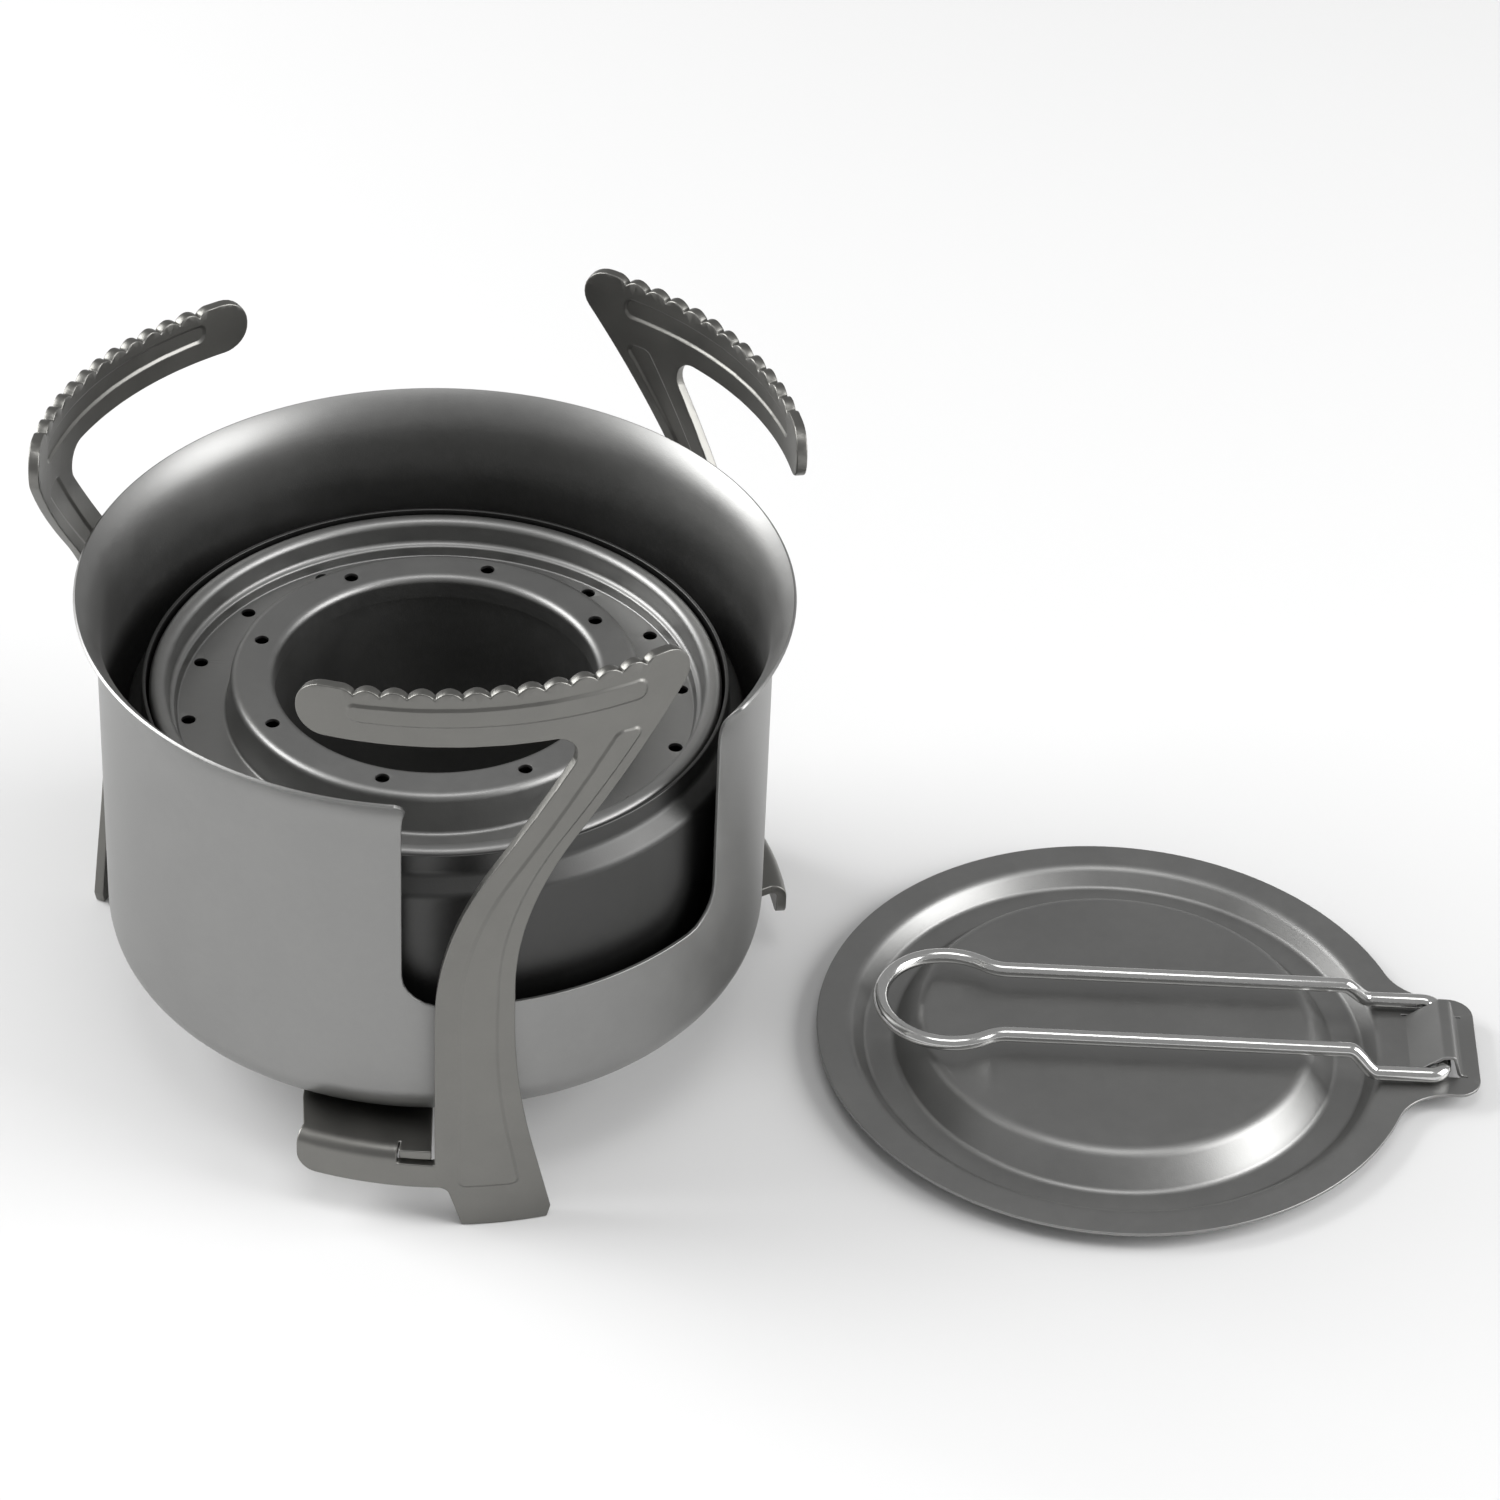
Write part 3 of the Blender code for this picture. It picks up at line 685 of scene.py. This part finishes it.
# %% Stamp, thicken and bend a pot support
def flat_support(rivet_circle):
    """The flat stamping: pressed panels, a rivet hole, its thickness and broken edges."""
    bm = bmesh.new()
    hole = [(*flange_spot(1.8 * math.cos(turn), 1.8 * math.sin(turn), rivet_circle), 0)
            for turn in (2 * math.pi * step / 24 for step in range(24))]
    rings = [loop(bm, points)[0] for points in (
        support_outline(rivet_circle), on_pattern(hole), on_pattern(BAR_PANEL), on_pattern(STRUT_PANEL))]
    fill(bm, rings)
    faces = [bm.faces.new(panel) for panel in rings[2:]]
    bmesh.ops.recalc_face_normals(bm, faces=bm.faces)
    if faces[0].normal.z < 0:
        bmesh.ops.reverse_faces(bm, faces=bm.faces)
    for face in faces:
        for width, rise in PRESS:
            bmesh.ops.inset_region(bm, faces=[face], thickness=width * MM, depth=rise * MM,
                                   use_even_offset=True, use_boundary=True)
        edge_of_panel = list(face.verts)
        bmesh.ops.delete(bm, geom=[face], context="FACES_ONLY")
        fill(bm, [edge_of_panel])
    bmesh.ops.translate(bm, verts=bm.verts, vec=(0, 0, BLADE / 2))
    grown = bmesh.ops.extrude_face_region(bm, geom=bm.faces[:])["geom"]
    moved = [part for part in grown if isinstance(part, bmesh.types.BMVert)]
    bmesh.ops.translate(bm, verts=moved, vec=(0, 0, -BLADE))
    bmesh.ops.recalc_face_normals(bm, faces=bm.faces)

    def is_cut_edge(edge):
        slopes = sorted(abs(face.normal.z) for face in edge.link_faces)
        return slopes[0] < 0.01 and slopes[-1] > 0.9
    cut_edges = [edge for edge in bm.edges if is_cut_edge(edge)]
    bmesh.ops.bevel(bm, geom=cut_edges, offset=0.17 * MM, offset_type="OFFSET", segments=2,
                    profile=0.5, affect="EDGES", clamp_overlap=False, material=-1)
    return bm


def bent(point):
    """Where a point of the flat pattern comes to: rolled round the stove, or folded into the flange."""
    along, height, push = point
    angle = along / BLADE_RADIUS
    degrees = math.degrees(angle)
    middle_of_relief = sum(RELIEF) / 2
    middle_of_slit = (BEND_LOW + PATCH_EDGE * MM) / 2
    on_flange = degrees < (PATCH_TO + BLADE_FROM) / 2 and height < BAR_LOW
    if on_flange and (height > BEND_HIGH or (degrees > middle_of_relief and height > middle_of_slit)):
        return polar(BLADE_RADIUS - BEND - (height - BEND_HIGH), angle, FLANGE_Z + push)
    if on_flange and height > BEND_LOW and degrees < middle_of_relief:
        turn = (height - BEND_LOW) / BEND
        return polar(BLADE_RADIUS - BEND + (BEND + push) * math.cos(turn), angle,
                     BEND_LOW + (BEND + push) * math.sin(turn))
    return polar(BLADE_RADIUS + push, angle, height)


def slice_pattern(bm, point, normal, faces):
    cut = {part for face in faces for part in (*face.verts, *face.edges, face)}
    bmesh.ops.bisect_plane(bm, geom=list(cut), dist=1e-7, plane_co=point, plane_no=normal)


def bent_support(rivet, turned):
    """Slice the flat stamping finely, bend it, and turn it on its rivet."""
    rivet_circle = (rivet - stove).xy.length
    bm = flat_support(rivet_circle)
    bmesh.ops.triangulate(bm, faces=bm.faces)
    slice_step = 1.5
    for index in range(-4, 40):
        slice_pattern(bm, (index * slice_step * DEGREE * MM, 0, 0), (1, 0, 0), bm.faces[:])
    fold_slices = 8
    for index in range(fold_slices + 1):
        height = BEND_LOW + (BEND_HIGH - BEND_LOW) * index / fold_slices
        near = [face for face in bm.faces
                if face.calc_center_median().x < sum(RELIEF) / 2 * DEGREE * MM
                and BEND_LOW - 5 * MM < face.calc_center_median().y < BEND_HIGH + 25 * MM]
        slice_pattern(bm, (0, height, 0), (0, 1, 0), near)
    for vert in bm.verts:
        vert.co = bent(vert.co)
    place = (Matrix.Translation((rivet.x, rivet.y, 0)) @ Matrix.Rotation(turned, 4, "Z")
             @ Matrix.Translation((-rivet_circle, 0, 0)))
    bmesh.ops.transform(bm, matrix=place, verts=bm.verts)
    bmesh.ops.remove_doubles(bm, verts=bm.verts, dist=1e-6)
    bmesh.ops.recalc_face_normals(bm, faces=bm.faces)
    return bm


for name in supports:
    joint = joints["pot_support_" + name + "_swing"]
    rivet = Vector(joint["pos_m"])
    standing_open = math.radians(-joint["range_deg"][0])
    toward_rivet = math.atan2(rivet.y - stove.y, rivet.x - stove.x)
    skin = bent_support(rivet, toward_rivet - standing_open)
    blade = shown("blade_" + name, skin, "pot_support_" + name, ROLLED,
                  "pot_support_" + name)
    weighted = blade.modifiers.new("Shading", "WEIGHTED_NORMAL")
    weighted.keep_sharp = True
    print(blade.name, triangles(blade), "triangles")

# %% [markdown]
# ## The burner's cup
#
# The fuel cup is a plain drawn cup whose wall steps in near the top, so that the cap can sit inside its
# lip. It is spun like the windshield.

# %% Burner cup
BURNER_RADIUS = (burner_high.x - burner_low.x) / 2 / MM
BURNER_BOTTOM = burner_low.z / MM
LIP_RADIUS, LIP_Z = 39.4, burner_high.z / MM
SHOULDER_Z = 47.4
SHOULDER_STEP = BURNER_RADIUS - LIP_RADIUS
burner_line = rounded([
    (0, BURNER_BOTTOM, 0), (BURNER_RADIUS, BURNER_BOTTOM, 5.0),
    (BURNER_RADIUS, SHOULDER_Z + 0.6 * SHOULDER_STEP, 1.6),
    (LIP_RADIUS, SHOULDER_Z + 1.6 * SHOULDER_STEP, 1.4), (LIP_RADIUS, LIP_Z, 0)],
    closed=False, longest=3 * MM)
skin = bmesh.new()
spun(skin, burner_line, stove)
face_out(skin, away_from_stove)
# The fuel cup's darker colour is painted shade.
burner = shown("burner_shell", skin, "burner", SHADE_PAINTED_TITANIUM, "burner_cup")
sheet(burner, edge=0.13 * MM)
print("burner cup", BURNER_RADIUS * 2, "mm across,", triangles(burner), "triangles")

# %% [markdown]
# ## The burner's cap
#
# The cap is one stamping: a round bead just inside the cup's lip, a ledge, a trough with
# sixteen flame jets, a raised ring with eight more, and a collar round the filling hole. Its round
# stretches are spun. The two flats that carry the jets are left open by the spinning and then filled
# with triangles between their edges and the rings of the holes, which leaves true round holes.

# %% Burner cap
TROUGH_Z = 48.75
ANNULUS_Z = 54.4
COLLAR_RADIUS = 21.75
JET_RADIUS = 0.98
OUTER_JETS = (16, 33.4, math.radians(185.8))
INNER_JETS = (8, 24.61, math.radians(208.3))
cap_rim = rounded([
    (38.5, 52.4, 0), (38.5, 53.75, 1.1), (36.2, 53.75, 1.1), (35.9, 50.4, 0.8),
    (35.15, 50.1, 0.4), (34.85, TROUGH_Z, 0.25), (34.55, TROUGH_Z, 0)], closed=False, arc_step=10.0)
cap_step = rounded([
    (29.0, TROUGH_Z, 0), (28.3, TROUGH_Z, 0.6), (27.5, ANNULUS_Z, 1.2), (25.8, ANNULUS_Z, 0)],
    closed=False, arc_step=10.0, longest=1 * MM)
cap_collar = rounded([
    (23.5, ANNULUS_Z, 0), (COLLAR_RADIUS, ANNULUS_Z, 1.1), (COLLAR_RADIUS, 51.0, 0)],
    closed=False, arc_step=10.0, longest=1 * MM)


def fill_flat(bm, z, outer, inner, jets):
    """Fill the flat between two rings, around its jets."""
    rings = [ring_of_verts(bm, stove, outer, z), ring_of_verts(bm, stove, inner, z)]
    count, circle, first = jets
    for index in range(count):
        middle = stove + polar(circle * MM, first + 2 * math.pi * index / count, z)
        bmesh.ops.create_circle(bm, cap_ends=False, radius=JET_RADIUS * MM, segments=28,
                                matrix=Matrix.Translation(middle))
        rings.append(ring_of_verts(bm, middle, JET_RADIUS * MM, z))
    fill(bm, rings)


skin = bmesh.new()
for line in (cap_rim, cap_step, cap_collar):
    spun(skin, line, stove, steps=160)
fill_flat(skin, TROUGH_Z * MM, cap_rim[-1].x, cap_step[0].x, OUTER_JETS)
fill_flat(skin, ANNULUS_Z * MM, cap_step[-1].x, cap_collar[0].x, INNER_JETS)
face_out(skin, upwards)
cap = shown("burner_cap", skin, "burner", BLASTED, "burner_top")
sheet(cap, edge=0.1 * MM)
print("cap with", OUTER_JETS[0] + INNER_JETS[0], "jets,", triangles(cap), "triangles")

# %% [markdown]
# ## The burner's inner sleeve
#
# The sleeve hangs round the collar and stands on the cup's floor. Four slots at its foot let the spirit
# flow from the middle into the jacket, where it boils up to the jets. The slots are rows of faces taken
# out of the spun skin.

# %% Sleeve
sleeve_low, sleeve_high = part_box("burner_inner_wall")
SLEEVE_RADIUS = (sleeve_high.x - sleeve_low.x) / 2
SLOT_HEIGHT, SLOT_HALF_TURN, SLOTS = 2.0 * MM, math.radians(5.0), 4
skin = bmesh.new()
spun(skin, [Vector((SLEEVE_RADIUS, sleeve_low.z)), Vector((SLEEVE_RADIUS, sleeve_low.z + SLOT_HEIGHT)),
            Vector((SLEEVE_RADIUS, (sleeve_low.z + sleeve_high.z) / 2)),
            Vector((SLEEVE_RADIUS, sleeve_high.z))], stove)


def in_slot(face):
    spot = face.calc_center_median() - stove
    turn = (math.atan2(spot.y, spot.x) - math.pi / 4) % (2 * math.pi / SLOTS)
    off = min(turn, 2 * math.pi / SLOTS - turn)
    return spot.z < sleeve_low.z + SLOT_HEIGHT and off < SLOT_HALF_TURN


bmesh.ops.delete(skin, geom=[face for face in skin.faces if in_slot(face)], context="FACES")
face_out(skin, away_from_stove)
sleeve = shown("burner_sleeve", skin, "burner", BLASTED, "burner_inner_wall")
sheet(sleeve, edge=0.1 * MM)
print("sleeve", SLEEVE_RADIUS * 2000, "mm across,", triangles(sleeve), "triangles")

# %% [markdown]
# ## The lid
#
# The snuffer lid is a stamped disc with a tab on one side. Inside its flat flange a channel is pressed
# down, which centres the lid in the burner's lip, and inside the channel the middle rises again. A bridge
# is pressed up out of the tab between two slits, and the wire turns under it. The round middle is spun.
# The flange and the tab are filled flat around a hole for the bridge, whose bent strip is then extruded
# across the hole and merged with its two long sides.

# %% Lid outline
LID_RADIUS = 41.6
TAB_END, TAB_HALF, TAB_CORNER, TAB_FILLET = 50.4, 10.3, 3.5, 8.0
BRIDGE_RAMP, BRIDGE_FOOT, BRIDGE_HALF, BRIDGE_SLIT = 4.9, 3.4, 6.2, 0.3
FLANGE_FROM = 38.4
TOP = 3.0                              # mm, the upper side of the flange and the tab
FLOOR_OF_CHANNEL = SHEET / MM
lid_line = rounded([
    (0, 5.0, 0), (27.2, 5.0, 2.4), (30.8, FLOOR_OF_CHANNEL, 1.2), (34.8, FLOOR_OF_CHANNEL, 1.0),
    (36.9, TOP, 1.8), (FLANGE_FROM, TOP, 0)], closed=False, arc_step=7.0)


def arc(middle, radius, first, last, parts):
    """Points in mm of an arc, both ends included."""
    return [Vector(middle) + polar(radius, math.radians(first + (last - first) * part / parts)).xy
            for part in range(parts + 1)]


def lid_outline():
    """Anticlockwise from the tab's root, round the disc and along the tab."""
    fillet_y = TAB_HALF + TAB_FILLET
    fillet_x = math.sqrt((LID_RADIUS + TAB_FILLET) ** 2 - fillet_y ** 2)
    root = math.degrees(math.atan2(fillet_y, fillet_x))
    side = TAB_END - TAB_CORNER
    points = arc((0, 0), LID_RADIUS, root, 360 - root, 150)
    points += arc((fillet_x, -fillet_y), TAB_FILLET, 180 - root, 90, 12)[1:]
    points += arc((side, -TAB_HALF + TAB_CORNER), TAB_CORNER, -90, 0, 10)
    points += arc((side, TAB_HALF - TAB_CORNER), TAB_CORNER, 0, 90, 10)
    points += arc((fillet_x, fillet_y), TAB_FILLET, 270, 180 + root, 12)[:-1]
    return [point * MM for point in points]


print("the lid's edge has", len(lid_outline()), "points")

# %% Lid
lid_place = Matrix.Translation(lid_centre) @ Matrix((
    (lid_along.x, lid_across.x, 0, 0), (lid_along.y, lid_across.y, 0, 0), (0, 0, 1, 0), (0, 0, 0, 1)))
bridge_middle = HINGE_OUT / MM
BRIDGE_TOP = TOP + 3.3
bridge_line = rounded([
    (bridge_middle - BRIDGE_RAMP, TOP, 0), (bridge_middle - BRIDGE_RAMP + 0.5, TOP, 0.4),
    (bridge_middle - 0.1, BRIDGE_TOP, 1.0), (bridge_middle + 1.5, BRIDGE_TOP, 0.8),
    (bridge_middle + 2.6, TOP, 0.5), (bridge_middle + BRIDGE_FOOT, TOP, 0)],
    closed=False, arc_step=15.0)

skin = bmesh.new()
spun(skin, lid_line, Vector((0, 0, 0)))
flange_ring = ring_of_verts(skin, Vector((0, 0, 0)), FLANGE_FROM * MM, TOP * MM)
outline_verts, _ = loop(skin, lid_outline())
near, far = bridge_line[0].x, bridge_line[-1].x
half, slit = BRIDGE_HALF * MM, (BRIDGE_HALF + BRIDGE_SLIT) * MM
hole_verts, _ = loop(skin, [
    Vector((near, -slit)), Vector((near, -half)), Vector((near, half)), Vector((near, slit)),
    Vector((far, slit)), Vector((far, half)), Vector((far, -half)), Vector((far, -slit))])
for vert in outline_verts + hole_verts:
    vert.co.z = TOP * MM
fill(skin, [outline_verts, flange_ring, hole_verts])
strip = [skin.verts.new((point.x, -half, point.y)) for point in bridge_line]
strip_edges = [skin.edges.new(pair) for pair in zip(strip, strip[1:])]
grown = bmesh.ops.extrude_edge_only(skin, edges=strip_edges)["geom"]
bmesh.ops.translate(skin, vec=(0, 2 * half, 0),
                    verts=[part for part in grown if isinstance(part, bmesh.types.BMVert)])
bmesh.ops.remove_doubles(skin, verts=skin.verts, dist=1e-6)
face_out(skin, upwards)
bmesh.ops.transform(skin, matrix=lid_place, verts=skin.verts)
lid = shown("lid_plate", skin, "lid", BLASTED, "lid")
sheet(lid, edge=0.12 * MM)
print("lid", LID_RADIUS * 2, "mm across,", triangles(lid), "triangles")

# %% [markdown]
# ## The wire handle
#
# One length of round wire: its two ends turn in under the bridge, it runs back along the tab, rises in
# an S to lie over the raised middle, narrows a little, and opens into a round loop for a fingertip. Half
# of that line is worked out from arcs and mirrored, and a curve with a round bevel makes the wire.

# %% Handle
WIRE_RADIUS = 1.05 * MM
HANDLE_Z = 7.45 * MM
HOOK_END, HOOK = 2.4 * MM, 2.0 * MM
NEAR_Y, FAR_Y = 7.9 * MM, 6.95 * MM
RISE_START, RISE_LENGTH = 9.3 * MM, 4.2 * MM
LOOP_X, LOOP_RADIUS, NECK = -23.5 * MM, 9.45 * MM, 6.0 * MM


def handle_half():
    """From the wire's end under the bridge to the far side of the loop, from the hinge line."""
    shoulder = NEAR_Y - HOOK
    high = HANDLE_Z - hinge_point.z
    route = [Vector((0, HOOK_END, 0)), Vector((0, (HOOK_END + shoulder) / 2, 0))]
    for step in range(9):
        turn = math.pi / 2 * step / 8
        route.append(Vector((-HOOK * (1 - math.cos(turn)), shoulder + HOOK * math.sin(turn), 0)))
    for step in range(13):
        share = step / 12
        ease = share * share * (3 - 2 * share)
        route.append(Vector((-RISE_START - RISE_LENGTH * share, NEAR_Y + (FAR_Y - NEAR_Y) * ease,
                             high * ease)))
    loop_x = LOOP_X - HINGE_OUT
    neck_x = math.sqrt((LOOP_RADIUS + NECK) ** 2 - (FAR_Y + NECK) ** 2)
    meet = math.atan2(FAR_Y + NECK, neck_x)
    for step in range(9):
        turn = -math.pi / 2 - (math.pi / 2 - meet) * step / 8
        route.append(Vector((loop_x + neck_x + NECK * math.cos(turn),
                             FAR_Y + NECK + NECK * math.sin(turn), high)))
    for step in range(1, 25):
        turn = meet + (math.pi - meet) * step / 24
        route.append(Vector((loop_x + LOOP_RADIUS * math.cos(turn), LOOP_RADIUS * math.sin(turn), high)))
    return route


half_route = handle_half()
mirrored = [Vector((point.x, -point.y, point.z)) for point in reversed(half_route[:-1])]
wire_curve = bpy.data.curves.new("handle_wire", "CURVE")
wire_curve.dimensions = "3D"
wire_curve.bevel_depth = WIRE_RADIUS
wire_curve.bevel_resolution = 6
wire_curve.use_fill_caps = True
wire_curve.materials.append(WIRE)
spline = wire_curve.splines.new("POLY")
spline.points.add(len(half_route) + len(mirrored) - 1)
for point, place in zip(spline.points, half_route + mirrored):
    out = hinge_point + lid_along * place.x + lid_across * place.y + Vector((0, 0, place.z))
    point.co = (*out, 1.0)
spline.use_smooth = True
handle = bpy.data.objects.new("handle_wire", wire_curve)
bpy.context.scene.collection.objects.link(handle)
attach(handle, "lid_handle")
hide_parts("lid_handle")
print("wire through", len(spline.points), "points")

# %% [markdown]
# ## Floor, light and camera
#
# The set stands on a plain pale floor. Blasted metal shows its form by broad, soft reflections, so two
# large softboxes stand on the left and on the right in a grey room, with a small one overhead: flats
# that mirror the room stay dark, and whatever curls over towards a box glows.

# %% Floor
def pale_floor():
    recipe = Recipe("pale floor")
    recipe.fill(recipe.shader, {
        "Base Color": (0.74, 0.74, 0.74, 1.0), "Roughness": 0.9, "Specular IOR Level": 0.1})
    return recipe.material


floor_mesh = bpy.data.meshes.new("floor")
bm = bmesh.new()
bmesh.ops.create_grid(bm, x_segments=1, y_segments=1, size=6.0)
bmesh.ops.translate(bm, verts=bm.verts, vec=(0, 0, TABLE))
bm.to_mesh(floor_mesh)
bm.free()
floor_mesh.materials.append(pale_floor())
floor = bpy.data.objects.new("floor", floor_mesh)
bpy.context.scene.collection.objects.link(floor)
print("floor at", TABLE)


# %% Lights
def softbox(name, place, aim, width, height, power):
    light = bpy.data.lights.new(name, "AREA")
    light.shape = "RECTANGLE"
    light.size, light.size_y = width, height
    light.energy = power
    lamp = bpy.data.objects.new(name, light)
    lamp.location = place
    lamp.rotation_euler = (Vector(aim) - Vector(place)).to_track_quat("-Z", "Y").to_euler()
    bpy.context.scene.collection.objects.link(lamp)


softbox("left", (-0.82, 0.22, 0.50), (-0.02, 0, 0.04), 0.6, 0.7, 10.5)
softbox("right", (0.80, -0.20, 0.44), (0.02, 0, 0.04), 0.6, 0.7, 8.0)
softbox("overhead", (0.02, -0.20, 0.90), (0, 0, 0.03), 0.5, 0.3, 1.6)
world = bpy.data.worlds.new("grey room")
world.use_nodes = True
world.node_tree.nodes["Background"].inputs["Color"].default_value = (0.36, 0.36, 0.36, 1.0)
bpy.context.scene.world = world
bpy.context.scene.view_settings.view_transform = "Standard"

# %% Camera
rim_centre = Vector((stove.x, stove.y, RIM_Z))
camera_place = rim_centre + Vector((0.0, -568.84, 406.02)) * MM
looked_at = rim_centre + Vector((41.75, -13.06, -17.50)) * MM
CAMERA_ROLL = math.radians(2.56)       # the horizon is not quite level
camera_data = bpy.data.cameras.new("camera")
camera_data.sensor_width = 36.0
camera_data.lens = 125.97
camera_data.clip_start = 0.01
camera = bpy.data.objects.new("camera", camera_data)
camera.location = camera_place
aim = (looked_at - camera_place).to_track_quat("-Z", "Y")
camera.rotation_euler = (aim.to_matrix() @ Matrix.Rotation(CAMERA_ROLL, 3, "Z")).to_euler()
bpy.context.scene.collection.objects.link(camera)
bpy.context.scene.camera = camera
print("camera", round((camera_place - rim_centre).length, 3), "m from the rim")
